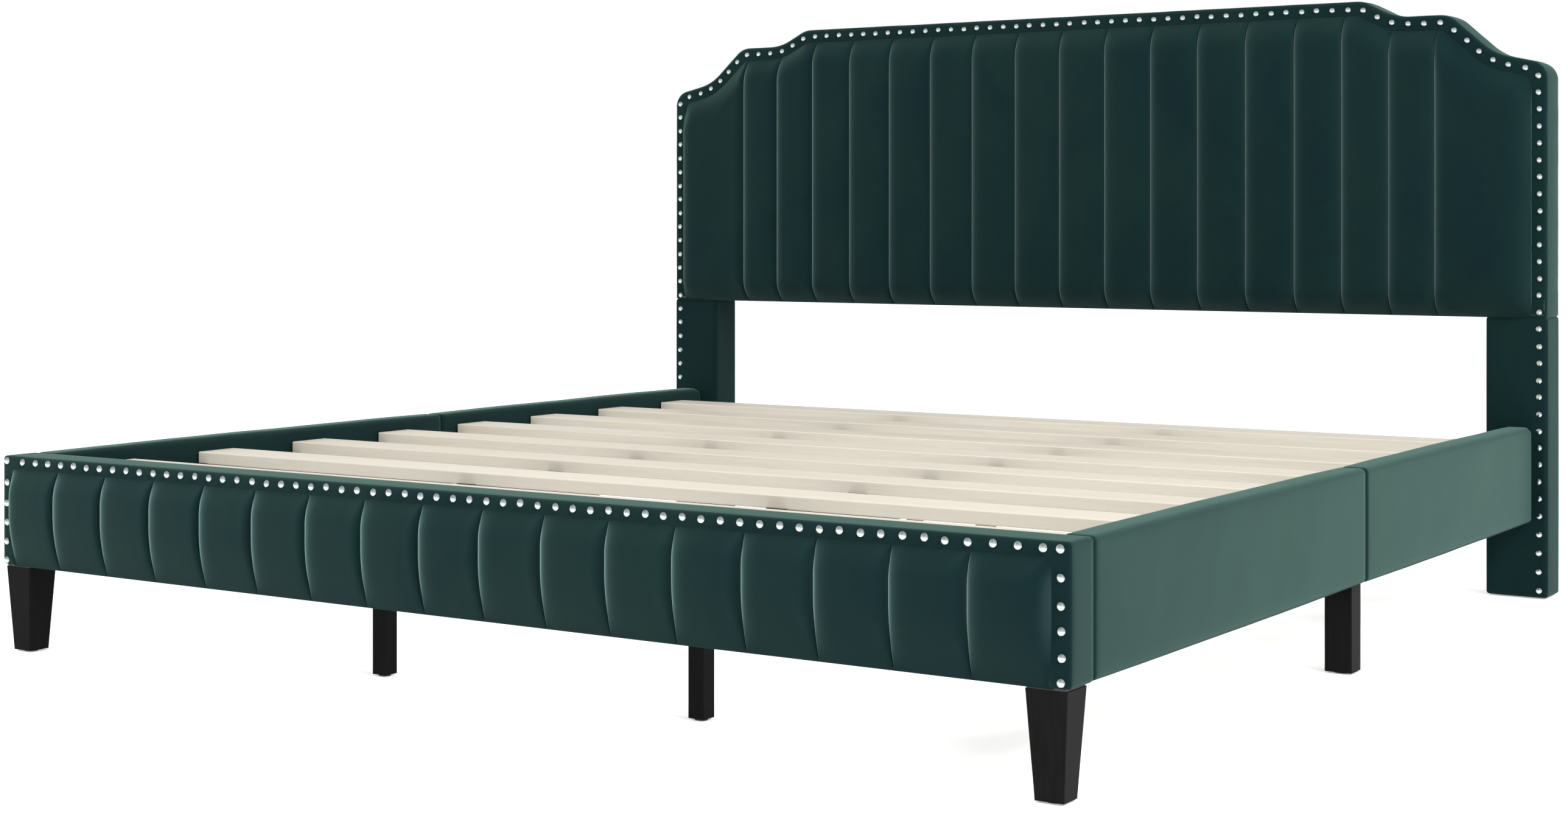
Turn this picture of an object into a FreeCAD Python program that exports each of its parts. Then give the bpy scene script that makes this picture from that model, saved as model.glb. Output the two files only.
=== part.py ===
"""King-size upholstered bed with a channelled, nail-trimmed headboard and footboard, slats and legs.

Millimetres. +Z is up, +X runs across the bed and +Y runs from the foot to the head. The origin is on
the floor at the middle of the bed's bounding box. Distances along the bed are first measured from the
front face of the footboard band, and every piece is moved to the origin when it is written.
"""

import FreeCAD, Part
import math
import os

# Mattress and frame
MATTRESS_WIDTH = 1930.0
MATTRESS_LENGTH = 2032.0
MATTRESS_PLAY = 4.0
RAIL_THICKNESS = 48.0
RAIL_TOP = 340.0
RAIL_BOTTOM = 151.0
RAIL_JOINT = 1125.0
RAIL_ROUND = 9.0
RAIL_END_ROUND = 22.0
COVER = 6.0

# Footboard
FOOT_THICKNESS = 72.0
FOOT_ROUND = 6.0
FOOT_PAD_TOP = 319.0
FOOT_PAD_SIDE = 26.0
FOOT_PAD_PROUD = 22.0

# Headboard panel and posts
HEAD_HALF_WIDTH = 1044.0
HEAD_THICKNESS = 88.0
HEAD_BOTTOM = 557.0
HEAD_TOP = 1200.0
HEAD_ROUND = 5.0
HEAD_PAD_INSET = 30.0
HEAD_PAD_PROUD = 36.0
POST_WIDTH = 120.0
# Corners of the shaped top, outermost first: distance from the middle, height, rounding radius
SHOULDER = [(1044.0, 1058.0, 36.0), (940.0, 1082.0, 120.0), (850.0, 1164.0, 50.0),
            (742.0, 1164.0, 120.0), (672.0, 1200.0, 60.0)]

# Nail heads
NAIL_RADIUS = 6.5
NAIL_RISE = 4.0
HEAD_NAIL_INSET = 16.0
HEAD_NAIL_PITCH = 33.47
COLUMN_NAIL_LOWEST = 165.4
COLUMN_NAIL_HIGHEST = 25
FLOOR_NAIL_PITCH = 37.0
FLOOR_NAIL_COUNT = 4
CROWN_NAIL_GAPS = 67
FOOT_NAIL_SIDE = 1002.0
FOOT_NAIL_HEIGHT = 330.0
FOOT_NAIL_GAPS = [40.0] + [1831.1 / 57] * 57 + [36.3] * 3 + [24.0]
FOOT_COLUMN_DROPS = [36.0, 72.0, 105.0, 138.0, 170.0]

# Slats and ledges
SLAT_COUNT = 8
SLAT_WIDTH = 92.0
SLAT_THICKNESS = 22.0
SLAT_TOP = 317.0
SLAT_PITCH = 251.3
SLAT_FIRST = 163.0
SLAT_HALF_LENGTH = 960.0
LEDGE = 30.0

# Centre beams and legs
BEAM_X = 314.0
BEAM_WIDTH = 40.0
BEAM_HEIGHT = 50.0
CENTRE_LEG = 28.0
CENTRE_LEG_PLACES = [203.0, RAIL_JOINT, 1995.0]
CROSS_RAIL_DEPTH = 36.0
RAIL_LEG = 46.0
RAIL_LEG_X = 974.0
FOOT_LEG_X = 979.0
FOOT_LEG_Y = 33.0
FOOT_LEG_FLOOR = 42.0
FOOT_LEG_HEAD = 60.0
GLIDE_HEIGHT = 3.0
PLATE = 3.0
BACK_PLATE = 2.0
BOLT_HEAD = 4.0
BOLT_RADIUS = 4.0
BOLT_PLAY = 0.5

# Worked out from the sizes above
INNER_HALF_WIDTH = (MATTRESS_WIDTH + MATTRESS_PLAY) / 2
HALF_WIDTH = INNER_HALF_WIDTH + RAIL_THICKNESS
HEAD_Y = FOOT_THICKNESS + MATTRESS_LENGTH
BACK_Y = HEAD_Y + HEAD_THICKNESS
MIDDLE_Y = (BACK_Y + BACK_PLATE + BOLT_HEAD - FOOT_PAD_PROUD) / 2
POST_INNER = HEAD_HALF_WIDTH - POST_WIDTH
POST_X = HEAD_HALF_WIDTH - POST_WIDTH / 2
SLAT_BOTTOM = SLAT_TOP - SLAT_THICKNESS
BEAM_BOTTOM = SLAT_BOTTOM - BEAM_HEIGHT
BRACKET_LOW = RAIL_BOTTOM + 14.0
BRACKET_HIGH = BEAM_BOTTOM - 6.0
SIDES = (("left", -1), ("right", 1))
UP = FreeCAD.Vector(0, 0, 1)
FORWARD = FreeCAD.Vector(0, -1, 0)
MADE = []


def box(x, y, z):
    """A block between the two numbers of each pair."""
    corner = FreeCAD.Vector(min(x), min(y), min(z))
    return Part.makeBox(abs(x[1] - x[0]), abs(y[1] - y[0]), abs(z[1] - z[0]), corner)


def rod(radius, start, direction, length):
    return Part.makeCylinder(radius, length, FreeCAD.Vector(*start), FreeCAD.Vector(*direction))


def mirrored(shape):
    """The same shape on the other side of the bed's middle plane."""
    return shape.mirror(FreeCAD.Vector(0, 0, 0), FreeCAD.Vector(1, 0, 0))


def both_sides(shapes):
    return shapes + [mirrored(shape) for shape in shapes]


def on_side(shape, sign):
    return shape if sign > 0 else mirrored(shape)


def rounded(shape, radius, wanted):
    """Rounds the edges whose middle point and direction the test accepts."""
    chosen = []
    for edge in shape.Edges:
        middle = edge.valueAt((edge.FirstParameter + edge.LastParameter) / 2)
        along = edge.tangentAt(edge.FirstParameter)
        if wanted(middle, along):
            chosen.append(edge)
    return shape.makeFillet(radius, chosen)


def write(name, *solids):
    """Writes one node, moved to the bed's origin, as a solid or a group of separate solids."""
    shape = solids[0].copy() if len(solids) == 1 else Part.makeCompound([s.copy() for s in solids])
    shape.translate(FreeCAD.Vector(0, -MIDDLE_Y, 0))
    shape.exportStep("parts/" + name + ".step")
    MADE.append((name, len(shape.Solids), shape.Volume, shape.isValid()))


def tangent_wire(corners, closed=True):
    """Straight lines through corner points (x, z, radius), with a tangent arc at each rounded corner."""
    points = [FreeCAD.Vector(x, 0, z) for x, z, _ in corners]
    edges = []
    ends = []
    for i, (_, _, radius) in enumerate(corners):
        here = points[i]
        if radius == 0:
            ends.append((here, here))
            continue
        before = (points[i - 1] - here).normalize()
        after = (points[(i + 1) % len(points)] - here).normalize()
        half_angle = before.getAngle(after) / 2
        setback = radius / math.tan(half_angle)
        bisector = (before + after).normalize()
        centre = here + bisector * (radius / math.sin(half_angle))
        start = here + before * setback
        end = here + after * setback
        edges.append(Part.Arc(start, centre - bisector * radius, end).toShape())
        ends.append((start, end))
    count = len(points) if closed else len(points) - 1
    for i in range(count):
        edges.append(Part.LineSegment(ends[i][1], ends[(i + 1) % len(points)][0]).toShape())
    return Part.Wire(Part.__sortEdges__(edges))


def head_outline(bottom):
    """The headboard's closed outline in its own plane, from a given bottom edge."""
    right = [(HEAD_HALF_WIDTH, bottom, 0.0)] + SHOULDER
    left = [(-x, z, r) for x, z, r in reversed(right)]
    return tangent_wire(right + left)


def head_slab(inset, near, far, bottom=HEAD_BOTTOM):
    """A slab of the headboard's outline, drawn in by an inset, between two distances along the bed."""
    wire = head_outline(bottom)
    if inset:
        wire = wire.makeOffset2D(-inset)
    wire.translate(FreeCAD.Vector(0, near, 0))
    return Part.Face(wire).extrude(FreeCAD.Vector(0, far - near, 0))


def nail(x, y, z):
    """A domed nail head: a cap of a sphere standing on a face that looks toward the foot."""
    ball = (NAIL_RADIUS ** 2 + NAIL_RISE ** 2) / (2 * NAIL_RISE)
    centre = FreeCAD.Vector(x, y + ball - NAIL_RISE, z)
    lowest = 90 - math.degrees(math.asin(NAIL_RADIUS / ball))
    return Part.makeSphere(ball, centre, FORWARD, lowest, 90, 360)


def make_headboard():
    wrap = head_slab(0, HEAD_Y, BACK_Y)
    front_rim = rounded(wrap, HEAD_ROUND, lambda p, t: abs(p.y - HEAD_Y) < 0.01 and p.z > HEAD_BOTTOM + 1)
    board_front = HEAD_Y + COVER - 2
    board_back = board_front + 12
    frame_back = BACK_Y - 4
    inset = COVER + 4
    write("headboard_wrap", front_rim.cut(head_slab(inset, board_front, BACK_Y + 1)))
    write("headboard_board", head_slab(inset, board_front, board_back))

    low = HEAD_BOTTOM + inset
    side = HEAD_HALF_WIDTH - inset
    depth = (board_back, frame_back)
    members = [box((-side, side), depth, (low, low + 70)),
               box((-side, side), depth, (840, 900)),
               box((-650, 650), depth, (1120, HEAD_TOP - inset))]
    members += both_sides([box((side - 100, side), depth, (low, 1010)),
                           box((560, 650), depth, (low, HEAD_TOP - inset))])
    write("headboard_frame", members[0].multiFuse(members[1:]).removeSplitter())
    write("headboard_back_cloth", head_slab(inset + 2, frame_back, frame_back + 2))
    pad = head_slab(HEAD_PAD_INSET, HEAD_Y - HEAD_PAD_PROUD, HEAD_Y, bottom=HEAD_BOTTOM - HEAD_PAD_INSET)
    write("headboard_pad", pad)


def column_heights():
    """Nail heights up one side of the posts and the panel, without the closer-to-floor four."""
    return [COLUMN_NAIL_LOWEST + HEAD_NAIL_PITCH * k for k in range(COLUMN_NAIL_HIGHEST + 1)]


def make_head_nails():
    column_x = HEAD_HALF_WIDTH - HEAD_NAIL_INSET
    heights = column_heights()
    crown_start = heights[-1]
    crown = []
    outline = head_outline(HEAD_BOTTOM).makeOffset2D(-HEAD_NAIL_INSET)
    keep_above = box((-1100, 1100), (-1, 1), (crown_start, HEAD_TOP + 1))
    arch = Part.Wire(Part.__sortEdges__(outline.common(keep_above).Edges))
    for point in arch.discretize(CROWN_NAIL_GAPS + 1)[1:-1]:
        crown.append(nail(point.x, HEAD_Y, point.z))
    panel = [z for z in heights if z > HEAD_BOTTOM]
    post = [z for z in heights if z < HEAD_BOTTOM]
    post += [COLUMN_NAIL_LOWEST - FLOOR_NAIL_PITCH * (k + 1) for k in range(FLOOR_NAIL_COUNT)]
    write("headboard_nails", *crown, *both_sides([nail(column_x, HEAD_Y, z) for z in panel]))
    for name, sign in SIDES:
        write("post_nails_" + name, *[nail(sign * column_x, HEAD_Y, z) for z in post])


def make_posts():
    core_x = (POST_INNER + COVER, HEAD_HALF_WIDTH - COVER)
    core_y = (HEAD_Y + COVER, BACK_Y - COVER)
    cover = box((POST_INNER, HEAD_HALF_WIDTH), (HEAD_Y, BACK_Y), (GLIDE_HEIGHT, HEAD_BOTTOM))
    cover = rounded(cover, HEAD_ROUND, lambda p, t: abs(t.z) > 0.9)
    core = box(core_x, core_y, (GLIDE_HEIGHT, HEAD_BOTTOM))
    cover = cover.cut(core)
    for name, sign in SIDES:
        write("post_core_" + name, on_side(core, sign))
        write("post_cover_" + name, on_side(cover, sign))

    plate_z = (HEAD_BOTTOM - 130, HEAD_BOTTOM + 130)
    plate = box((POST_X - 25, POST_X + 25), (BACK_Y, BACK_Y + BACK_PLATE), plate_z)
    heads = []
    for z in (plate_z[0] + 25, plate_z[0] + 95, plate_z[1] - 95, plate_z[1] - 25):
        heads.append(rod(8, (POST_X, BACK_Y + BACK_PLATE, z), (0, 1, 0), BOLT_HEAD))
    write("post_joining_plates", *both_sides([plate]))
    write("post_joining_bolts", *both_sides(heads))


def make_footboard():
    outer = box((-HALF_WIDTH, HALF_WIDTH), (0, FOOT_THICKNESS), (RAIL_BOTTOM, RAIL_TOP))
    outer = rounded(outer, FOOT_ROUND, lambda p, t: p.y < FOOT_THICKNESS - 1 and abs(t.y) < 0.1
                    and p.z > RAIL_BOTTOM + 1)
    bolt_hole = rod(BOLT_RADIUS + BOLT_PLAY, (FOOT_LEG_X, FOOT_LEG_Y, RAIL_BOTTOM - 60), UP, 90)
    holes = both_sides([bolt_hole])
    inner_x = HALF_WIDTH - COVER
    inner = box((-inner_x, inner_x), (COVER, FOOT_THICKNESS), (RAIL_BOTTOM + 2, RAIL_TOP - COVER))
    write("footboard_wrap", outer.cut(inner).cut(holes))

    board_back = COVER + 18
    frame_back = FOOT_THICKNESS - 8
    low = RAIL_BOTTOM + 2
    high = RAIL_TOP - COVER
    board = box((-inner_x, inner_x), (COVER, board_back), (low, high))
    depth = (board_back, frame_back)
    members = [box((-inner_x, inner_x), depth, (low, low + 40)),
               box((-inner_x, inner_x), depth, (high - 40, high))]
    for centre in (-inner_x + 45, -BEAM_X, BEAM_X, inner_x - 45):
        members.append(box((centre - 45, centre + 45), depth, (low, high)))
    frame = members[0].multiFuse(members[1:]).removeSplitter().cut(holes)
    write("footboard_board", board)
    write("footboard_frame", frame)
    write("footboard_lining", box((-inner_x, inner_x), (frame_back, FOOT_THICKNESS), (low, high)))
    pad_x = HALF_WIDTH - FOOT_PAD_SIDE
    write("footboard_pad", box((-pad_x, pad_x), (-FOOT_PAD_PROUD, 0), (RAIL_BOTTOM, FOOT_PAD_TOP)))


def make_foot_nails():
    nails = [nail(-FOOT_NAIL_SIDE, 0, FOOT_NAIL_HEIGHT)]
    x = -FOOT_NAIL_SIDE
    for gap in FOOT_NAIL_GAPS:
        x += gap
        nails.append(nail(x, 0, FOOT_NAIL_HEIGHT))
    for drop in FOOT_COLUMN_DROPS:
        nails += both_sides([nail(FOOT_NAIL_SIDE, 0, FOOT_NAIL_HEIGHT - drop)])
    write("footboard_nails", *nails)


def make_foot_legs():
    """Square legs that taper to the floor, with a hanger bolt up the middle. Returns the right plate."""
    leg_top = RAIL_BOTTOM - PLATE

    def square(side, z):
        half = side / 2
        corners = [(-half, -half), (half, -half), (half, half), (-half, half), (-half, -half)]
        return Part.makePolygon([FreeCAD.Vector(FOOT_LEG_X + x, FOOT_LEG_Y + y, z) for x, y in corners])

    leg = Part.makeLoft([square(FOOT_LEG_FLOOR, GLIDE_HEIGHT), square(FOOT_LEG_HEAD, leg_top)], True)
    leg = rounded(leg, 2.5, lambda p, t: abs(t.z) > 0.9)
    bolt_low = RAIL_BOTTOM - 50
    clearance = rod(BOLT_RADIUS + BOLT_PLAY, (FOOT_LEG_X, FOOT_LEG_Y, bolt_low), UP, 100)
    plate = box((FOOT_LEG_X - 28, FOOT_LEG_X + 28), (FOOT_LEG_Y - 28, FOOT_LEG_Y + 28),
                (leg_top, RAIL_BOTTOM))
    bolt = rod(BOLT_RADIUS, (FOOT_LEG_X, FOOT_LEG_Y, bolt_low), UP, 75)
    leg = leg.cut(clearance)
    for name, sign in SIDES:
        write("foot_leg_" + name, on_side(leg, sign))
    write("foot_leg_hanger_bolts", *both_sides([bolt]))
    return plate.cut(clearance)


def rail_half(near, far, round_end):
    """Cover and board of half a right-hand side rail; its head end has rounded corners."""
    outer = box((INNER_HALF_WIDTH, HALF_WIDTH), (near, far), (RAIL_BOTTOM, RAIL_TOP))
    if round_end:
        outer = rounded(outer, RAIL_END_ROUND, lambda p, t: abs(t.x) > 0.9 and p.y > far - 1 and
                        p.z > RAIL_TOP - 1)
        outer = rounded(outer, RAIL_END_ROUND / 2, lambda p, t: abs(t.x) > 0.9 and p.y > far - 1 and
                        p.z < RAIL_BOTTOM + 1)
    outer = rounded(outer, RAIL_ROUND, lambda p, t: abs(t.y) > 0.9 and p.z > RAIL_TOP - 1)
    core_x = (INNER_HALF_WIDTH + COVER, HALF_WIDTH - COVER)
    core_z = (RAIL_BOTTOM + COVER, RAIL_TOP - RAIL_ROUND)
    margin = RAIL_END_ROUND if round_end else 0
    core = box(core_x, (near, far - margin), core_z)
    return outer.cut(core), core


def make_rails():
    halves = (("foot", FOOT_THICKNESS, RAIL_JOINT - 0.5, False),
              ("head", RAIL_JOINT + 0.5, HEAD_Y, True))
    ledge_z = (SLAT_BOTTOM - LEDGE, SLAT_BOTTOM)
    ledge_x = (INNER_HALF_WIDTH - LEDGE, INNER_HALF_WIDTH)
    for end, near, far, round_end in halves:
        cover, core = rail_half(near, far, round_end)
        ledge = box(ledge_x, (near + 10, far - CROSS_RAIL_DEPTH - 14), ledge_z)
        for name, sign in SIDES:
            write("rail_cover_%s_%s" % (name, end), on_side(cover, sign))
            write("rail_board_%s_%s" % (name, end), on_side(core, sign))
            write("slat_ledge_%s_%s" % (name, end), on_side(ledge, sign))


def make_rail_hardware():
    face = INNER_HALF_WIDTH
    inside = face - PLATE
    tall = (BRACKET_LOW, BRACKET_HIGH)
    bolt_z = (BRACKET_LOW + 25, BRACKET_HIGH - 25)
    joining = box((inside, face), (RAIL_JOINT - 100, RAIL_JOINT + 100), tall)
    joining_bolts = []
    for y in (RAIL_JOINT - 75, RAIL_JOINT - 30, RAIL_JOINT + 30, RAIL_JOINT + 75):
        joining_bolts += [rod(7, (inside, y, z), (-1, 0, 0), 5) for z in bolt_z]
    write("rail_joining_plates", *both_sides([joining]))
    write("rail_joining_bolts", *both_sides(joining_bolts))

    corner_bolts = []
    for name, wall, away in (("foot", FOOT_THICKNESS, 1), ("head", HEAD_Y, -1)):
        along_rail = box((inside, face), (wall, wall + away * 60), tall)
        along_end = box((POST_INNER + 2, face), (wall, wall + away * PLATE), tall)
        write("corner_brackets_" + name, *both_sides([along_rail.fuse(along_end).removeSplitter()]))
        for z in bolt_z:
            corner_bolts.append(rod(7, (inside, wall + away * 40, z), (-1, 0, 0), 5))
            corner_bolts.append(rod(7, (POST_INNER + 20, wall + away * PLATE, z), (0, away, 0), 5))
    middle_z = SLAT_BOTTOM - BEAM_HEIGHT / 2
    corner_bolts.append(rod(7, (POST_INNER + 20, HEAD_Y - CROSS_RAIL_DEPTH, middle_z), FORWARD, 5))
    write("corner_bolts", *both_sides(corner_bolts))


def make_rail_legs():
    """Straight square legs under the joint of each side rail. Returns the plate over the right one."""
    half = RAIL_LEG / 2
    plate = box((RAIL_LEG_X - half, RAIL_LEG_X + half), (RAIL_JOINT - 45, RAIL_JOINT + 45),
                (RAIL_BOTTOM - PLATE, RAIL_BOTTOM))
    leg = box((RAIL_LEG_X - half, RAIL_LEG_X + half), (RAIL_JOINT - half, RAIL_JOINT + half),
              (GLIDE_HEIGHT, RAIL_BOTTOM - PLATE))
    leg = rounded(leg, 2, lambda p, t: abs(t.z) > 0.9)
    for name, sign in SIDES:
        write("rail_leg_" + name, on_side(leg, sign))
    return plate


def make_glides():
    """Plastic discs between the floor and every post and leg."""
    places = [(POST_X, (HEAD_Y + BACK_Y) / 2, 14), (FOOT_LEG_X, FOOT_LEG_Y, 12), (RAIL_LEG_X, RAIL_JOINT, 14)]
    places += [(BEAM_X, y, 10) for y in CENTRE_LEG_PLACES]
    write("floor_glides", *both_sides([rod(r, (x, y, 0), UP, GLIDE_HEIGHT) for x, y, r in places]))


def make_centre_supports():
    cross_near = HEAD_Y - CROSS_RAIL_DEPTH
    beam_z = (BEAM_BOTTOM, SLAT_BOTTOM)
    beam_x = (BEAM_X - BEAM_WIDTH / 2, BEAM_X + BEAM_WIDTH / 2)
    beam = box(beam_x, (FOOT_THICKNESS + PLATE, cross_near - PLATE), beam_z)
    legs = []
    half = CENTRE_LEG / 2
    for place in CENTRE_LEG_PLACES:
        legs.append(box((BEAM_X - half, BEAM_X + half), (place - half, place + half),
                        (GLIDE_HEIGHT, BEAM_BOTTOM)))
    for name, sign in SIDES:
        write("centre_beam_" + name, on_side(beam, sign))
        write("centre_legs_" + name, *[on_side(leg, sign) for leg in legs])
    write("head_cross_rail", box((-INNER_HALF_WIDTH, INNER_HALF_WIDTH), (cross_near, HEAD_Y), beam_z))
    hangers = []
    for wall, away in ((FOOT_THICKNESS, 1), (cross_near, -1)):
        flange = box((BEAM_X - 40, BEAM_X + 40), (wall, wall + away * PLATE), beam_z)
        seat = box(beam_x, (wall, wall + away * 40), (BEAM_BOTTOM - PLATE, BEAM_BOTTOM))
        hangers.append(flange.fuse(seat).removeSplitter())
    write("beam_hangers", *both_sides(hangers))


def make_slats():
    screws = []
    for number in range(SLAT_COUNT):
        near = SLAT_FIRST + SLAT_PITCH * number
        slat = box((-SLAT_HALF_LENGTH, SLAT_HALF_LENGTH), (near, near + SLAT_WIDTH), (SLAT_BOTTOM, SLAT_TOP))
        slat = rounded(slat, 2.5, lambda p, t: abs(t.x) > 0.9)
        seats = [(SLAT_HALF_LENGTH - 10, y, SLAT_TOP - 1) for y in (near + 24, near + SLAT_WIDTH - 24)]
        recesses = both_sides([rod(4, seat, UP, 1) for seat in seats])
        write("slat_%d" % (number + 1), slat.cut(recesses))
        screws += [rod(4, seat, UP, 0.8) for seat in seats]
    write("slat_screws", *both_sides(screws))


def main():
    os.makedirs("parts", exist_ok=True)
    make_headboard()
    make_head_nails()
    make_posts()
    make_footboard()
    make_foot_nails()
    foot_plate = make_foot_legs()
    make_rails()
    make_rail_hardware()
    rail_plate = make_rail_legs()
    write("leg_plates", *both_sides([foot_plate, rail_plate]))
    make_glides()
    make_centre_supports()
    make_slats()
    for name, solids, volume, valid in MADE:
        print("%-26s %4d solids %12.0f mm3 %s" % (name, solids, volume, "ok" if valid else "NOT VALID"))
    print(len(MADE), "nodes")


main()
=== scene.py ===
"""Upholstered king-size bed: velvet padding, nail heads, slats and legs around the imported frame.

Laid out as an add-on and run as a script. All sizes are in metres, in the frame's own axes: +X across
the bed, +Y from the foot to the head, +Z up.
"""

import math

import bpy
import numpy as np
from bpy.props import FloatProperty, FloatVectorProperty, IntProperty, PointerProperty
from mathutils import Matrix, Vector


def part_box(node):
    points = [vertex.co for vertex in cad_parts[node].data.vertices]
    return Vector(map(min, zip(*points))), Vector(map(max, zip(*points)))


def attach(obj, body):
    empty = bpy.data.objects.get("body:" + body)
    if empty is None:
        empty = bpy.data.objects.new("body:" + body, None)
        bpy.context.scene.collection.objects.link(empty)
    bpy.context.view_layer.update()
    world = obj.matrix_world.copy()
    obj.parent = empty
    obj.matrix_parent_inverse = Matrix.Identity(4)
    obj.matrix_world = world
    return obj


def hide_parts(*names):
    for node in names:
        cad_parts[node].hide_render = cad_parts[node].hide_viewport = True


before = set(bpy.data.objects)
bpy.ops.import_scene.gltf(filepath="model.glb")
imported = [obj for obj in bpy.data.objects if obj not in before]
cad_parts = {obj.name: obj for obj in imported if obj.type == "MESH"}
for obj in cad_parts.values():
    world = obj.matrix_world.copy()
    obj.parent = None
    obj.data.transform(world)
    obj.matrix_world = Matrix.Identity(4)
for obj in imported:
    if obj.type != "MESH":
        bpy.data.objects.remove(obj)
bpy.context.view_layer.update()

bl_info = {
    "name": "Upholstered headboard bed",
    "version": (1, 0, 0),
    "blender": (4, 5, 0),
    "location": "View3D > Sidebar > Bed",
    "description": "Velvet padding, nail heads, slats and legs of a king-size bed",
    "category": "Object",
}

MM = 0.001
SENSOR_WIDTH = 36.0

# The headboard's shaped top, outermost corner first: distance from the middle, height, rounding radius
SHOULDER = np.array([(1043, 1058, 36), (940, 1082, 120), (850, 1164, 50), (742, 1164, 120),
                     (672, 1200, 60)]) * MM
LOWER_CORNER_RADIUS = 4 * MM

# The headboard's pad: the widths over which it rises from its top, sides, lower edge and outer seams, and
# how far its lower edge is tucked in
HEAD_TOP_RISE = 60 * MM
HEAD_SIDE_RISE = 40 * MM
HEAD_BOTTOM_RISE = 50 * MM
HEAD_SEAM_RISE = 30 * MM
HEAD_TUCK = 2 * MM

# The footboard's pad, in the same way
FOOT_TOP_RISE = 50 * MM
FOOT_END_RISE = 20 * MM
FOOT_BOTTOM_RISE = 95 * MM
FOOT_TUCK = 4.5 * MM

# How far both pads hang below their nodes
PAD_OVERHANG = 1.5 * MM

# How many times the moves of the stuffed fabric are averaged with their neighbours'
SMOOTHING_PASSES = 12

# How far the headboard's band crowns and ripples, and how far the footboard's cover is pressed in by its pad
BAND_CROWN = 1.5 * MM
BAND_RIPPLE = 0.5 * MM
PRESSED_IN = 5.5 * MM

# A nail head: its skirt sinks into the cloth, its widest ring stands clear, and its dome rises from there
NAIL_SKIRT = 0.8 * MM
NAIL_FOOT = 0.6 * MM
NAIL_DOME = 3.6 * MM

# Painted shade on the velvet: how far its sheen is turned down, from 0 to 1, and what is left of its sheen at
# 1
SHEEN_LEFT_IN_SHADE = 0.25
HEAD_SHEEN_SHADE = 0.12
HEAD_RIM_SHEEN_SHADE = 0.80
HEAD_BAND_SHEEN_SHADE = 0.60
FOOT_TOP_SHEEN_SHADE = 0.55
FOOT_BOTTOM_SHEEN_SHADE = 0.90
FOOT_BAND_SHEEN_SHADE = 0.35
RAIL_SHEEN_SHADE = 0.12
POST_SHEEN_SHADE = 0.75


# ---------------------------------------------------------------- settings

class ShapeSettings(bpy.types.PropertyGroup):
    """Sizes of the padding and its seams."""

    head_channels: FloatVectorProperty(name="Headboard channels", size=8, unit="LENGTH",
                                       description="Widths of the channels, from the middle seam out",
                                       default=(0.108, 0.1075, 0.107, 0.107, 0.106, 0.101, 0.098, 0.094))
    foot_channels: IntProperty(name="Footboard channels", description="Channels on the footboard",
                               default=17)
    head_inset: FloatProperty(name="Headboard band", description="Flat band between the edge and the pad",
                              default=0.030, unit="LENGTH")
    head_crest: FloatProperty(name="Headboard channel height", description="Height before stuffing",
                              default=0.037, unit="LENGTH")
    foot_crest: FloatProperty(name="Footboard channel height", description="Height before stuffing",
                              default=0.0235, unit="LENGTH")
    groove: FloatProperty(name="Groove depth", description="Depth of a seam below its channels",
                          default=0.0255, unit="LENGTH")
    pressure: FloatProperty(name="Stuffing pressure", description="Pressure that rounds the padding",
                            default=4.0)
    swell: FloatProperty(name="Largest swell", description="Furthest that stuffing moves the fabric",
                         default=0.003, unit="LENGTH")
    corner: FloatProperty(name="Edge rounding", description="Rounding of padded edges",
                          default=0.006, unit="LENGTH")
    rail_corner: FloatProperty(name="Rail edge rounding", description="Rounding of the long edges",
                               default=0.009, unit="LENGTH")
    rail_end: FloatProperty(name="Rail end rounding", description="Rounding of the upper corner",
                            default=0.022, unit="LENGTH")
    nail_radius: FloatProperty(name="Nail radius", description="Radius of a nail head",
                               default=0.0065, unit="LENGTH")


class FinishSettings(bpy.types.PropertyGroup):
    """Colours of the bed's materials."""

    velvet: FloatVectorProperty(name="Velvet", description="Velvet seen square on", subtype="COLOR",
                                size=3, default=(0.0030, 0.0120, 0.0140))
    velvet_light: FloatVectorProperty(name="Velvet, brushed", description="Velvet where the pile leans away",
                                      subtype="COLOR", size=3, default=(0.0046, 0.0160, 0.0150))
    velvet_sheen: FloatVectorProperty(name="Velvet sheen", description="Tint of the sheen at grazing angles",
                                      subtype="COLOR", size=3, default=(0.165, 0.288, 0.242))
    # Tint of the painted highlight in the sheen along the seams
    velvet_painted_highlight: FloatVectorProperty(name="Velvet sheen at seams", description="Sheen of crushed pile",
                                        subtype="COLOR", size=3, default=(0.58, 0.98, 0.94))
    pine: FloatVectorProperty(name="Pine", description="Pale slat wood", subtype="COLOR",
                              size=3, default=(0.46, 0.428, 0.366))
    pine_grain: FloatVectorProperty(name="Pine grain", description="Darker grain lines of the slats",
                                    subtype="COLOR", size=3, default=(0.40, 0.350, 0.270))
    black: FloatVectorProperty(name="Black lacquer", description="Legs and beams", subtype="COLOR",
                               size=3, default=(0.0034, 0.0035, 0.0036))
    nail: FloatVectorProperty(name="Nail heads", description="Polished nickel", subtype="COLOR",
                              size=3, default=(0.62, 0.70, 0.70))


class StageSettings(bpy.types.PropertyGroup):
    """Camera, floor and light."""

    eye: FloatVectorProperty(name="Camera place", description="Where the camera stands", subtype="XYZ",
                             size=3, default=(2.356, -3.914, 0.746))
    yaw: FloatProperty(name="Camera turn", description="How far the camera turns from the bed's length",
                       default=math.radians(34.56), subtype="ANGLE")
    lens: FloatProperty(name="Focal length", description="In millimetres on a 36 mm wide sensor",
                        default=55.94)
    shift: FloatVectorProperty(name="Lens shift", description="Shift across and up, in widths of the view",
                               size=2, default=(0.0683, -0.119))
    floor_size: FloatProperty(name="Floor", description="Side of the square floor", default=60.0,
                              unit="LENGTH")


def settings():
    """The scene's shape, finish and stage settings."""
    scene = bpy.context.scene
    return scene.bed_shape, scene.bed_finish, scene.bed_stage


# ---------------------------------------------------------------- numbers and surfaces

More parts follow.
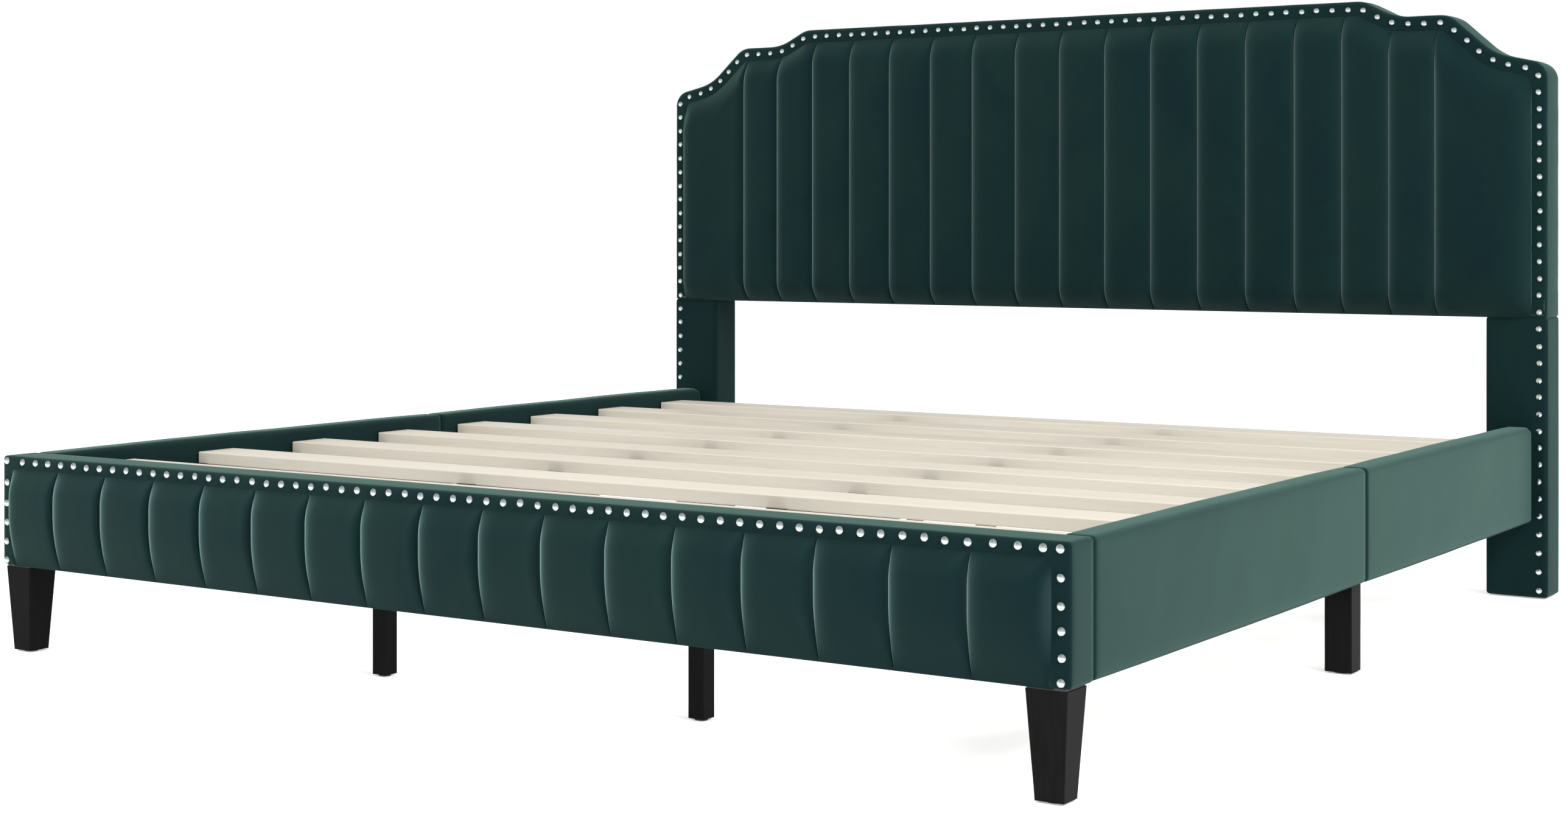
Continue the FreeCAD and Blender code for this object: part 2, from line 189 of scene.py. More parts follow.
def soft_noise(points, size, seed, octaves=3, waves=7):
    """A soft random field: sine waves in random directions, each octave twice as fine and half as strong."""
    random = np.random.default_rng(seed)
    total = np.zeros(points.shape[:-1])
    for octave in range(octaves):
        for _ in range(waves):
            direction = random.normal(size=3)
            direction *= 2 * np.pi * 2 ** octave / size / np.linalg.norm(direction)
            total += np.sin(points @ direction + random.uniform(0, 2 * np.pi)) / 2 ** octave
    return total / waves


def grid_quads(rows, columns, wrap_rows=False, wrap_columns=False):
    """Quads between neighbouring points of a rows by columns grid, numbered row by row."""
    i, j = np.meshgrid(np.arange(rows - (not wrap_rows)), np.arange(columns - (not wrap_columns)),
                       indexing="ij")
    i_next, j_next = (i + 1) % rows, (j + 1) % columns
    quads = np.stack([i * columns + j, i * columns + j_next, i_next * columns + j_next,
                      i_next * columns + j], axis=-1)
    return quads.reshape(-1, 4)


def refine(points, axis):
    """Twice as many steps along an axis.

    Each new point is 9/16 of its two neighbours less 1/16 of the next two.
    """
    p = np.moveaxis(points, axis, 0)
    ends = np.concatenate([2 * p[:1] - p[1:2], p, 2 * p[-1:] - p[-2:-1]])
    between = (9 * (ends[1:-2] + ends[2:-1]) - ends[:-3] - ends[3:]) / 16
    finer = np.empty((2 * len(p) - 1,) + p.shape[1:])
    finer[0::2] = p
    finer[1::2] = between
    return np.moveaxis(finer, 0, axis)


def seam_spacing(edges, counts):
    """Places from edge to edge, crowded towards each edge: the cosine of even angles."""
    places = [np.array([edges[0]])]
    for low, high, count in zip(edges[:-1], edges[1:], counts):
        angle = np.pi * np.arange(1, count + 1) / count
        places.append(low + (high - low) * (1 - np.cos(angle)) / 2)
    return np.concatenate(places)


def eased_shares(rows):
    """Shares from 0 to 1, closer together at both ends: half even steps, half the cosine of even angles."""
    share = np.linspace(0, 1, rows)
    return 0.5 * share + 0.25 * (1 - np.cos(np.pi * share))


def tangent_loop(corners, spacing):
    """A closed outline through corners (x, z, radius), with a tangent arc at each.

    Returns points about a spacing apart and the outward unit normals. Corners run anticlockwise.
    """
    corners = np.asarray(corners, float)
    here = corners[:, :2]
    before = np.roll(here, 1, axis=0) - here
    after = np.roll(here, -1, axis=0) - here
    before /= np.linalg.norm(before, axis=1, keepdims=True)
    after /= np.linalg.norm(after, axis=1, keepdims=True)
    half_angle = np.arccos(np.clip((before * after).sum(1), -1, 1)) / 2
    setback = corners[:, 2] / np.tan(half_angle)
    bisector = before + after
    bisector /= np.linalg.norm(bisector, axis=1, keepdims=True)
    centre = here + bisector * (corners[:, 2] / np.sin(half_angle))[:, None]
    turn = before[:, 0] * after[:, 1] - before[:, 1] * after[:, 0]
    points, normals = [], []
    for k in range(len(corners)):
        start = here[k] + before[k] * setback[k]
        end = here[k] + after[k] * setback[k]
        a0, a1 = (np.arctan2(*(p - centre[k])[::-1]) for p in (start, end))
        sweep = (a1 - a0 + np.pi) % (2 * np.pi) - np.pi
        steps = max(int(abs(sweep) / math.radians(7)), int(abs(sweep) * corners[k, 2] / spacing), 2)
        angle = a0 + sweep * np.arange(steps + 1) / steps
        ray = np.stack([np.cos(angle), np.sin(angle)], axis=1)
        points.append(centre[k] + corners[k, 2] * ray)
        normals.append(ray * (1 if turn[k] < 0 else -1))
        follow = (k + 1) % len(corners)
        target = here[follow] + before[follow] * setback[follow]
        length = np.linalg.norm(target - end)
        count = max(int(length / spacing), 1)
        share = (np.arange(1, count) / count)[:, None]
        points.append(end + (target - end) * share)
        normals.append(np.repeat(normals[-1][-1:], count - 1, axis=0))
    return np.concatenate(points), np.concatenate(normals)


def nearest_distance(points, line):
    """Distance in the plane from every point to the nearest point of a dense line."""
    flat = points.reshape(-1, 2)
    found = np.empty(len(flat))
    for start in range(0, len(flat), 4096):
        gap = flat[start:start + 4096, None, :] - line[None]
        found[start:start + 4096] = np.sqrt((gap ** 2).sum(-1).min(1))
    return found.reshape(points.shape[:-1])


# ---------------------------------------------------------------- meshes and pieces

def set_attribute(obj, name, values):
    """Stores one number for every vertex, for a material to read."""
    attribute = obj.data.attributes.new(name, "FLOAT", "POINT")
    attribute.data.foreach_set("value", np.ascontiguousarray(values, float))


def build_mesh(name, points, quads, caps=()):
    """A smooth-shaded object from points, quads and a few many-sided flat faces."""
    mesh = bpy.data.meshes.new(name)
    faces = quads.tolist() + [list(map(int, cap)) for cap in caps]
    mesh.from_pydata(points.reshape(-1, 3).tolist(), [], faces)
    mesh.polygons.foreach_set("use_smooth", np.ones(len(faces), bool))
    mesh.validate()
    mesh.update()
    obj = bpy.data.objects.new(name, mesh)
    bpy.context.scene.collection.objects.link(obj)
    return obj


def finish_piece(obj, material, replaced=()):
    """Gives a piece its material and its place on the bed, and hides the nodes that it stands for."""
    obj.data.materials.clear()
    obj.data.materials.append(material)
    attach(obj, "root")
    if replaced:
        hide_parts(*replaced)
    return obj


def coordinates(obj):
    """Every vertex of an object's mesh, one to a row."""
    found = np.empty(len(obj.data.vertices) * 3)
    obj.data.vertices.foreach_get("co", found)
    return found.reshape(-1, 3)


def stuff(points, pinned, pressure, largest, frames=16):
    """Swells a grid of fabric with cloth simulation, held at its seams and edges.

    Each move is then averaged with its neighbours, and kept within the largest swell: a move of d becomes
    largest * tanh(d / largest).
    """
    rows, columns = points.shape[:2]
    obj = build_mesh("fabric", points, grid_quads(rows, columns))
    group = obj.vertex_groups.new(name="sewn")
    group.add([int(i) for i in np.flatnonzero(pinned.ravel())], 1.0, "REPLACE")
    cloth = obj.modifiers.new("cloth", "CLOTH")
    cloth.settings.vertex_group_mass = "sewn"
    cloth.settings.quality = 5
    cloth.settings.mass = 0.4
    cloth.settings.tension_stiffness = 20
    cloth.settings.compression_stiffness = 20
    cloth.settings.shear_stiffness = 8
    cloth.settings.bending_stiffness = 1.0
    cloth.settings.effector_weights.gravity = 0
    cloth.settings.use_pressure = True
    cloth.settings.uniform_pressure_force = pressure
    cloth.collision_settings.use_collision = False
    cloth.collision_settings.use_self_collision = False
    scene = bpy.context.scene
    for number in range(1, frames + 1):
        scene.frame_set(number)
    evaluated = obj.evaluated_get(bpy.context.evaluated_depsgraph_get())
    moved = np.empty(points.size)
    evaluated.data.vertices.foreach_get("co", moved)
    mesh = obj.data
    bpy.data.objects.remove(obj)
    bpy.data.meshes.remove(mesh)
    scene.frame_set(1)
    move = moved.reshape(points.shape) - points
    for _ in range(SMOOTHING_PASSES):
        around = np.pad(move, ((1, 1), (1, 1), (0, 0)), mode="edge")
        move = (around[:-2, 1:-1] + around[2:, 1:-1] + around[1:-1, :-2] + around[1:-1, 2:]) / 4
        move[pinned] = 0
    length = np.linalg.norm(move, axis=-1, keepdims=True)
    return points + move * largest * np.tanh(length / largest) / np.maximum(length, 1e-9)


def closed_panel(name, points, depth):
    """Closes a front surface: its edge runs straight back by a depth, to one flat face behind."""
    rows, columns = points.shape[:2]
    number = np.arange(rows * columns).reshape(rows, columns)
    rim = np.concatenate([number[0, :-1], number[:-1, -1], number[-1, :0:-1], number[:0:-1, 0]])
    flat = points.reshape(-1, 3)
    behind = flat[rim].copy()
    behind[:, 1] = depth
    count = len(rim)
    far = rows * columns + np.arange(count)
    wall = np.stack([rim, far, np.roll(far, -1), np.roll(rim, -1)], axis=1)
    quads = np.concatenate([grid_quads(rows, columns), wall])
    return build_mesh(name, np.concatenate([flat, behind]), quads, caps=[far[::-1]])


# ---------------------------------------------------------------- materials

def node(tree, kind, **inputs):
    """Adds a shader node; names starting with set_ are its own settings, the rest are its inputs."""
    made = tree.nodes.new(kind)
    for name, value in inputs.items():
        if name.startswith("set_"):
            setattr(made, name[4:], value)
            continue
        socket = made.inputs[name.replace("_", " ")]
        if isinstance(value, bpy.types.NodeSocket):
            tree.links.new(value, socket)
        else:
            socket.default_value = value
    return made


def new_material(name):
    """A new material, its tree, its shader and the object's own coordinates."""
    material = bpy.data.materials.new(name)
    material.use_nodes = True
    tree = material.node_tree
    shader = tree.nodes["Principled BSDF"]
    place = node(tree, "ShaderNodeTexCoord").outputs["Object"]
    return material, tree, shader, place


def stretched(tree, place, scale):
    """Coordinates scaled apart along x, y and z, so that a noise turns into grain."""
    return node(tree, "ShaderNodeMapping", Vector=place, Scale=scale).outputs["Vector"]


def noise(tree, vector, scale, detail=3.0, roughness=0.55, distortion=0.0):
    """A noise from 0 to 1, with scale features to a metre."""
    return node(tree, "ShaderNodeTexNoise", Vector=vector, Scale=scale, Detail=detail,
                Roughness=roughness, Distortion=distortion).outputs["Fac"]


def remap(tree, value, low, high, to_low, to_high):
    """Moves the range from low to high on to the range from to_low to to_high, and clamps to it."""
    made = node(tree, "ShaderNodeMapRange", Value=value)
    for name, number in (("From Min", low), ("From Max", high), ("To Min", to_low), ("To Max", to_high)):
        made.inputs[name].default_value = number
    return made.outputs["Result"]


def blend_colours(tree, share, first, second):
    """The first colour where the share is 0, the second where it is 1. Each is a colour or a socket."""
    made = tree.nodes.new("ShaderNodeMix")
    made.data_type = "RGBA"
    tree.links.new(share, made.inputs["Factor"])
    colour_sockets = [s for s in made.inputs if s.type == "RGBA"]
    for socket, colour in zip(colour_sockets, (first, second)):
        if isinstance(colour, bpy.types.NodeSocket):
            tree.links.new(colour, socket)
        else:
            socket.default_value = (*colour, 1.0)
    return [s for s in made.outputs if s.type == "RGBA"][0]


def add_bump(tree, shader, height, strength, distance):
    """Bumps a shader by a height."""
    bump = node(tree, "ShaderNodeBump", Height=height, Strength=strength, Distance=distance)
    tree.links.new(bump.outputs["Normal"], shader.inputs["Normal"])


def velvet_material():
    """Short-pile velvet: dark square on, pale at grazing angles, with soft patches where the pile leans.

    The sheen grows towards a brighter tint near the seams, a painted highlight, and is turned down as painted
    shade where a piece is marked for it.
    """
    _, finish, _ = settings()
    material, tree, shader, place = new_material("dark green velvet")
    patches = noise(tree, stretched(tree, place, (1.0, 1.0, 0.8)), 5.0, detail=4.0, distortion=0.6)
    pile = noise(tree, place, 1400.0, detail=2.0)
    share = remap(tree, patches, 0.35, 0.68, 0.0, 1.0)
    colour = blend_colours(tree, share, tuple(finish.velvet), tuple(finish.velvet_light))
    speckle = remap(tree, pile, 0.3, 0.7, 0.0, 0.35)
    dark = tuple(0.55 * c for c in finish.velvet)
    tree.links.new(blend_colours(tree, speckle, colour, dark), shader.inputs["Base Color"])
    shader.inputs["Roughness"].default_value = 0.75
    shader.inputs["Specular IOR Level"].default_value = 0.04
    facing = node(tree, "ShaderNodeLayerWeight", Blend=0.5).outputs["Facing"]
    tree.links.new(remap(tree, facing, 0.0, 0.14, 0.3, 1.0), shader.inputs["Sheen Weight"])
    shader.inputs["Sheen Roughness"].default_value = 0.42
    # Painted highlight: the sheen tint brightens near the seams.
    highlighted = node(tree, "ShaderNodeAttribute", set_attribute_name="highlighted").outputs["Fac"]
    sheen = blend_colours(tree, highlighted, tuple(finish.velvet_sheen), tuple(finish.velvet_painted_highlight))
    # Painted shade: the sheen tint is turned down where a piece is marked for it.
    sheen_shade = node(tree, "ShaderNodeAttribute", set_attribute_name="sheen_shade").outputs["Fac"]
    shaded_sheen = tuple(SHEEN_LEFT_IN_SHADE * c for c in finish.velvet_sheen)
    tree.links.new(blend_colours(tree, sheen_shade, sheen, shaded_sheen), shader.inputs["Sheen Tint"])
    add_bump(tree, shader, pile, 0.35, 0.0004)
    return material


def pine_material():
    """Planed pale pine: long grain lines along the slat, a few darker streaks and a fine pore bump."""
    _, finish, _ = settings()
    material, tree, shader, place = new_material("pale pine")
    long_grain = noise(tree, stretched(tree, place, (1.2, 38.0, 38.0)), 3.0, detail=5.0, distortion=0.8)
    fine_grain = noise(tree, stretched(tree, place, (6.0, 420.0, 420.0)), 2.0, detail=3.0)
    tint = noise(tree, stretched(tree, place, (0.4, 4.0, 1.0)), 1.3, detail=1.0)
    share = remap(tree, long_grain, 0.42, 0.72, 0.0, 0.65)
    colour = blend_colours(tree, share, tuple(finish.pine), tuple(finish.pine_grain))
    pale = tuple(min(1.12 * c, 1.0) for c in finish.pine)
    colour = blend_colours(tree, remap(tree, tint, 0.3, 0.7, 0.0, 0.8), colour, pale)
    streak = tuple(0.82 * c for c in finish.pine_grain)
    tree.links.new(blend_colours(tree, remap(tree, fine_grain, 0.55, 0.8, 0.0, 0.4), colour, streak),
                   shader.inputs["Base Color"])
    tree.links.new(remap(tree, fine_grain, 0.3, 0.7, 0.62, 0.5), shader.inputs["Roughness"])
    add_bump(tree, shader, fine_grain, 0.25, 0.0006)
    return material


def lacquer_material():
    """Black satin lacquer over wood: the grain just shows in the gloss."""
    _, finish, _ = settings()
    material, tree, shader, place = new_material("black satin lacquer")
    grain = noise(tree, stretched(tree, place, (160.0, 160.0, 6.0)), 1.5, detail=4.0)
    lighter = tuple(1.7 * c for c in finish.black)
    tree.links.new(blend_colours(tree, remap(tree, grain, 0.35, 0.7, 0.0, 1.0), tuple(finish.black), lighter),
                   shader.inputs["Base Color"])
    tree.links.new(remap(tree, grain, 0.3, 0.7, 0.54, 0.62), shader.inputs["Roughness"])
    shader.inputs["Specular IOR Level"].default_value = 0.05
    add_bump(tree, shader, grain, 0.2, 0.0004)
    return material


def zinc_material():
    """Bright zinc plate with a fine uneven polish."""
    material, tree, shader, place = new_material("bright zinc")
    grain = noise(tree, place, 450.0, detail=3.0)
    zinc = (0.62, 0.63, 0.64)
    darker = tuple(0.82 * c for c in zinc)
    tree.links.new(blend_colours(tree, remap(tree, grain, 0.35, 0.65, 0.0, 1.0), zinc, darker),
                   shader.inputs["Base Color"])
    tree.links.new(remap(tree, grain, 0.3, 0.7, 0.255, 0.425), shader.inputs["Roughness"])
    shader.inputs["Metallic"].default_value = 1.0
    add_bump(tree, shader, grain, 0.1, 0.0002)
    return material


def nickel_material():
    """Polished nickel nail heads: bright domes, darker at the rim by painted shade and up top by a painted
    reflection.
    """
    _, finish, _ = settings()
    material, tree, shader, place = new_material("polished nickel")
    painted_shade = node(tree, "ShaderNodeAttribute", set_attribute_name="painted_shade").outputs["Fac"]
    scuffs = noise(tree, place, 300.0, detail=3.0)
    # The rim colour is the painted shade and the painted dark reflection.
    rim = tuple(0.22 * c for c in finish.nail)
    tree.links.new(blend_colours(tree, painted_shade, rim, tuple(finish.nail)), shader.inputs["Base Color"])
    tree.links.new(remap(tree, scuffs, 0.3, 0.7, 0.16, 0.28), shader.inputs["Roughness"])
    shader.inputs["Metallic"].default_value = 1.0
    return material


def powder_coat_material():
    """Black powder coat on steel plate: a fine orange-peel surface."""
    material, tree, shader, place = new_material("black powder coat")
    peel = noise(tree, place, 900.0, detail=2.0)
    tree.links.new(blend_colours(tree, peel, (0.012, 0.012, 0.013), (0.03, 0.03, 0.032)),
                   shader.inputs["Base Color"])
    shader.inputs["Roughness"].default_value = 0.48
    add_bump(tree, shader, peel, 0.3, 0.0003)
    return material


def timber_material():
    """Rough sawn timber inside the covers: grain along the piece and saw marks across it."""
    material, tree, shader, place = new_material("sawn timber")
    grain = noise(tree, stretched(tree, place, (14.0, 14.0, 14.0)), 4.0, detail=5.0, distortion=1.5)
    saw = noise(tree, stretched(tree, place, (260.0, 260.0, 20.0)), 1.0, detail=2.0)
    colour = blend_colours(tree, remap(tree, grain, 0.35, 0.7, 0.0, 1.0), (0.55, 0.40, 0.25),
                           (0.38, 0.25, 0.14))
    tree.links.new(colour, shader.inputs["Base Color"])
    shader.inputs["Roughness"].default_value = 0.8
    add_bump(tree, shader, saw, 0.4, 0.0008)
    return material


def lining_material():
    """Black non-woven backing cloth: a fine random fibre mat."""
    material, tree, shader, place = new_material("black backing cloth")
    fibres = noise(tree, place, 620.0, detail=4.0, roughness=0.7, distortion=1.5)
    cloudy = noise(tree, place, 24.0, detail=3.0)
    colour = blend_colours(tree, fibres, (0.010, 0.010, 0.011), (0.040, 0.040, 0.043))
    tree.links.new(blend_colours(tree, remap(tree, cloudy, 0.3, 0.7, 0.0, 0.4), colour, (0.02, 0.02, 0.022)),
                   shader.inputs["Base Color"])
    shader.inputs["Roughness"].default_value = 0.92
    add_bump(tree, shader, fibres, 0.5, 0.0005)
    return material


def plastic_material():
    """Black moulded plastic glides."""
    material, tree, shader, place = new_material("black plastic")
    grain = noise(tree, place, 500.0, detail=2.0)
    tree.links.new(blend_colours(tree, grain, (0.015, 0.015, 0.015), (0.03, 0.03, 0.03)),
                   shader.inputs["Base Color"])
    shader.inputs["Roughness"].default_value = 0.55
    add_bump(tree, shader, grain, 0.2, 0.0002)
    return material


def material(name):
    """The named material, made the first time that it is asked for."""
    makers = {
        "dark green velvet": velvet_material,
        "pale pine": pine_material,
        "black satin lacquer": lacquer_material,
        "black powder coat": powder_coat_material,
        "sawn timber": timber_material,
        "black backing cloth": lining_material,
        "black plastic": plastic_material,
        "polished nickel": nickel_material,
        "bright zinc": zinc_material,
    }
    return bpy.data.materials.get(name) or makers[name]()


# ---------------------------------------------------------------- the bed's own shapes

def head_corners(extra_round=0.0):
    """Corners of the headboard's outline, anticlockwise from the lower right.

    The outermost corner of each shoulder may be given a rounder arc.
    """
    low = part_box("headboard_wrap")[0].z
    right = [(SHOULDER[0, 0], low, LOWER_CORNER_RADIUS)] + [tuple(c) for c in SHOULDER]
    right[1] = (right[1][0], right[1][1], right[1][2] + extra_round)
    return right + [(-x, z, r) for x, z, r in reversed(right)]


def pad_top(x, inset, extra_round):
    """Height of the headboard pad's top edge at each x: the outline drawn in by the inset."""
    points, normals = tangent_loop(head_corners(extra_round), 0.002)
    line = points - inset * normals
    below_shoulder = SHOULDER[0, 1] - 0.09
    upper = line[points[:, 1] > below_shoulder]
    order = np.argsort(upper[:, 0], kind="stable")
    return np.interp(x, upper[order, 0], upper[order, 1])


def painted_seam_highlight(x, seams, reach=0.017):
    """Painted highlight in the sheen near the seams: 1 on a seam, falling as exp(-(distance / reach)^2)."""
    distance = np.abs(x[..., None] - seams).min(-1)
    return np.exp(-(distance / reach) ** 2)


def dome(distance, width, power):
    """From 0 at an edge to 1 at a width away: 1 - (1 - distance / width)^power."""
    return 1 - (1 - np.clip(distance / width, 0, 1)) ** power


def channel_shape(x, edges, power=4.0):
    """Height across the channels: (1 - |u|^power)^(1 / power), with u from -1 to 1 from seam to seam."""
    slot = np.clip(np.searchsorted(edges, x, side="right") - 1, 0, len(edges) - 2)
    low, high = edges[slot], edges[slot + 1]
    u = np.clip(2 * (x - low) / (high - low) - 1, -1, 1)
    return (1 - np.abs(u) ** power) ** (1 / power)


def finish_panel(name, points, highlighted, sheen_shade, pinned, depth, replaced):
    """Stuffs a padded front, refines it, closes it and makes it a piece.

    Its sheen carries a painted highlight at the seams and painted shade where it turns in at the rims.
    """
    shape, _, _ = settings()
    points = stuff(points, pinned, shape.pressure, shape.swell)
    points = refine(refine(points, 0), 1)
    obj = closed_panel(name, points, depth)
    for label, values in (("highlighted", highlighted * (1 - sheen_shade)), ("sheen_shade", sheen_shade)):
        values = refine(refine(values, 0), 1).ravel()
        set_attribute(obj, label, np.append(values, np.zeros(len(obj.data.vertices) - len(values))))
    return finish_piece(obj, material("dark green velvet"), replaced)


def headboard_panel():
    """The headboard's pad: upright channels between two plain side fields.

    The front stands proud by body * (1 - groove / crest * (1 - across)). The body is the crest times the
    rises from the top, the sides and the lower edge, and across is 0 on a seam and 1 between seams. The
    lower edge is tucked in a little.
    """
    shape, _, _ = settings()
    low_corner, high_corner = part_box("headboard_pad")
    front = high_corner.y
    half = high_corner.x
    outward = np.cumsum(shape.head_channels)
    seams = np.concatenate([-outward[::-1], [0.0], outward])
    edges = np.concatenate([[-half], seams, [half]])
    x = seam_spacing(edges, [22] + [14] * (len(seams) - 1) + [22])
    share = eased_shares(84)
    low = low_corner.z - PAD_OVERHANG
    top = pad_top(x, shape.head_inset, extra_round=0.012)
    z = low + (top - low)[None] * share[:, None]
    grid_x = np.repeat(x[None], len(share), axis=0)
    plane = np.stack([grid_x, z], axis=-1)
    line = np.stack([x, top], axis=1)
    top_line = np.linspace(line[:-1], line[1:], 8, axis=1).reshape(-1, 2)
    side_lines = np.concatenate([np.linspace((side, low), (side, top[0]), 200) for side in (-half, half)])
    from_top = nearest_distance(plane, top_line)
    from_side = nearest_distance(plane, side_lines)
    past_seams = np.abs(grid_x) - seams[-1]
    across = np.where(past_seams > 0, dome(past_seams, HEAD_SEAM_RISE, 4.0) ** (1 / 4),
                      channel_shape(grid_x, edges))
    at_bottom = dome(z - low, HEAD_BOTTOM_RISE, 2.0)
    at_side = np.sqrt(dome(from_side, HEAD_SIDE_RISE, 2.0))
    body = shape.head_crest * dome(from_top, HEAD_TOP_RISE, 2.3) * at_side * at_bottom
    depth = body * (1 - shape.groove / shape.head_crest * (1 - across)) - HEAD_TUCK * (1 - at_bottom)
    points = np.stack([grid_x, front - depth, z], axis=-1)
    sewn_columns = np.isin(x, seams) | (np.abs(x) == half)
    pinned = sewn_columns[None] | np.isin(share, (0, 1))[:, None]
    # Painted shade in the sheen: a little over the whole pad, and more towards its top, lower edge and sides.
    from_rim = np.minimum(np.minimum(from_top, z - low), from_side + 0.02)
    sheen_shade = HEAD_SHEEN_SHADE + HEAD_RIM_SHEEN_SHADE * (1 - dome(from_rim, 0.075, 2.0))
    return finish_panel("headboard_channels", points, painted_seam_highlight(grid_x, seams), sheen_shade, pinned, front + 0.004,
                        ["headboard_pad"])


def footboard_panel():
    """The footboard's pad: upright channels from end to end, tucked under along the bottom.

    Its height is found as the headboard's is, with rises from the top, the lower edge and both ends.
    """
    shape, _, _ = settings()
    low_corner, high_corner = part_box("footboard_pad")
    front = high_corner.y
    half = high_corner.x
    edges = np.linspace(-half, half, shape.foot_channels + 1)
    x = seam_spacing(edges, [16] * shape.foot_channels)
    share = eased_shares(40)
    low = low_corner.z - PAD_OVERHANG
    z = low + (high_corner.z - low) * share
    grid_x, grid_z = np.meshgrid(x, z)
    across = channel_shape(grid_x, edges)
    from_top = high_corner.z - grid_z
    from_bottom = grid_z - low
    at_end = np.sqrt(dome(half - np.abs(grid_x), FOOT_END_RISE, 2.0))
    at_bottom = dome(from_bottom, FOOT_BOTTOM_RISE, 2.0)
    body = shape.foot_crest * dome(from_top, FOOT_TOP_RISE, 2.2) * at_end * at_bottom
    depth = body * (1 - shape.groove / shape.foot_crest * (1 - across)) - FOOT_TUCK * (1 - at_bottom)
    points = np.stack([grid_x, front - depth, grid_z], axis=-1)
    pinned = np.isin(x, edges)[None] | np.isin(share, (0, 1))[:, None]
    # Painted shade in the sheen towards the top and the lower edge.
    sheen_shade = np.maximum(FOOT_TOP_SHEEN_SHADE * (1 - dome(from_top, 0.040, 2.0)),
                      FOOT_BOTTOM_SHEEN_SHADE * (1 - dome(from_bottom, 0.110, 2.0)))
    return finish_panel("footboard_channels", points, painted_seam_highlight(grid_x, edges), sheen_shade, pinned, front + 0.010,
                        ["footboard_pad"])


def nail_places(name):
    """The tops of the domed nail heads, which are the foremost points of a nail node's mesh."""
    points = coordinates(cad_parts[name])
    foremost = points[points[:, 1] < points[:, 1].min() + 1e-6]
    return np.unique(np.round(foremost, 5), axis=0)


def nail_pucker(x, z, nails, rise=0.0008, reach=0.009):
    """How far the fabric stands up away from the nails: rise * (1 - exp(-(distance / reach)^2))."""
    near = nearest_distance(np.stack([x, z], axis=-1), nails[:, [0, 2]])
    return rise * (1 - np.exp(-(near / reach) ** 2))


def headboard_band():
    """The velvet band round the panel's edge: a rounded profile carried along the shaped outline.

    The profile runs from the band's inner edge over the front, round a corner, along the side, round the
    other corner and on to the back. The side crowns outwards by crown * (1 - u^2), with u from -1 to 1 from
    front to back, and ripples softly.
    """
    shape, _, _ = settings()
    low_corner, high_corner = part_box("headboard_wrap")
    path, normal = tangent_loop(head_corners(), 0.004)
    r = shape.corner
    angle = np.linspace(0, np.pi / 2, 6)
    front, back = low_corner.y, high_corner.y
    inset = [0.034, 0.028, 0.022, 0.018, 0.014, 0.010, r + 0.001]
    y = [front] * len(inset)
    inset += list(r - r * np.sin(angle))
    y += list(front + r - r * np.cos(angle))
    side = np.linspace(front + r + 0.001, back - r - 0.001, 9)
    inset += [0.0] * len(side)
    y += list(side)
    inset += list(r - r * np.cos(angle))
    y += list(back - r + r * np.sin(angle))
    inset += [0.012, 0.020, 0.034]
    y += [back] * 3
    inset, y = np.array(inset), np.array(y)
    x = path[:, None, 0] - inset[None] * normal[:, None, 0]
    z = path[:, None, 1] - inset[None] * normal[:, None, 1]
    y = np.repeat(y[None], len(path), axis=0)
    on_front = np.abs(y - front) < 1e-6
    nails = nail_places("headboard_nails")
    y = np.where(on_front, y - nail_pucker(x, z, nails), y)
    points = np.stack([x, y, z], axis=-1)
    crown = BAND_CROWN * np.clip(1 - np.abs(2 * (y - front) / (back - front) - 1) ** 2, 0, 1)
    ripple = BAND_RIPPLE * soft_noise(points, 0.12, 11)
    outward = np.stack([normal[:, None, 0] + 0 * y, 0 * y, normal[:, None, 1] + 0 * y], axis=-1)
    points = points + outward * ((crown + ripple) * ~on_front)[..., None]
    rows, columns = points.shape[:2]
    obj = build_mesh("headboard_band", points, grid_quads(rows, columns, True, True))
    # Painted shade in the sheen: none on the front, full from a corner's radius back.
    set_attribute(obj, "sheen_shade", HEAD_BAND_SHEEN_SHADE * np.clip((points[..., 1] - front) / r, 0, 1).ravel())
    return finish_piece(obj, material("dark green velvet"), ["headboard_wrap"])


def edge_places(low, high, radius, spacing):
    """Places from low to high: even angles over each rounded edge, about a spacing apart between."""
    near = radius * (1 - np.tan(np.radians([45, 34, 23, 12, 0])))
    count = max(int(round((high - low - 2 * radius) / spacing)), 1)
    middle = np.linspace(low + radius, high - radius, count + 1)[1:-1]
    return np.concatenate([low + near, middle, (high - near)[::-1]])


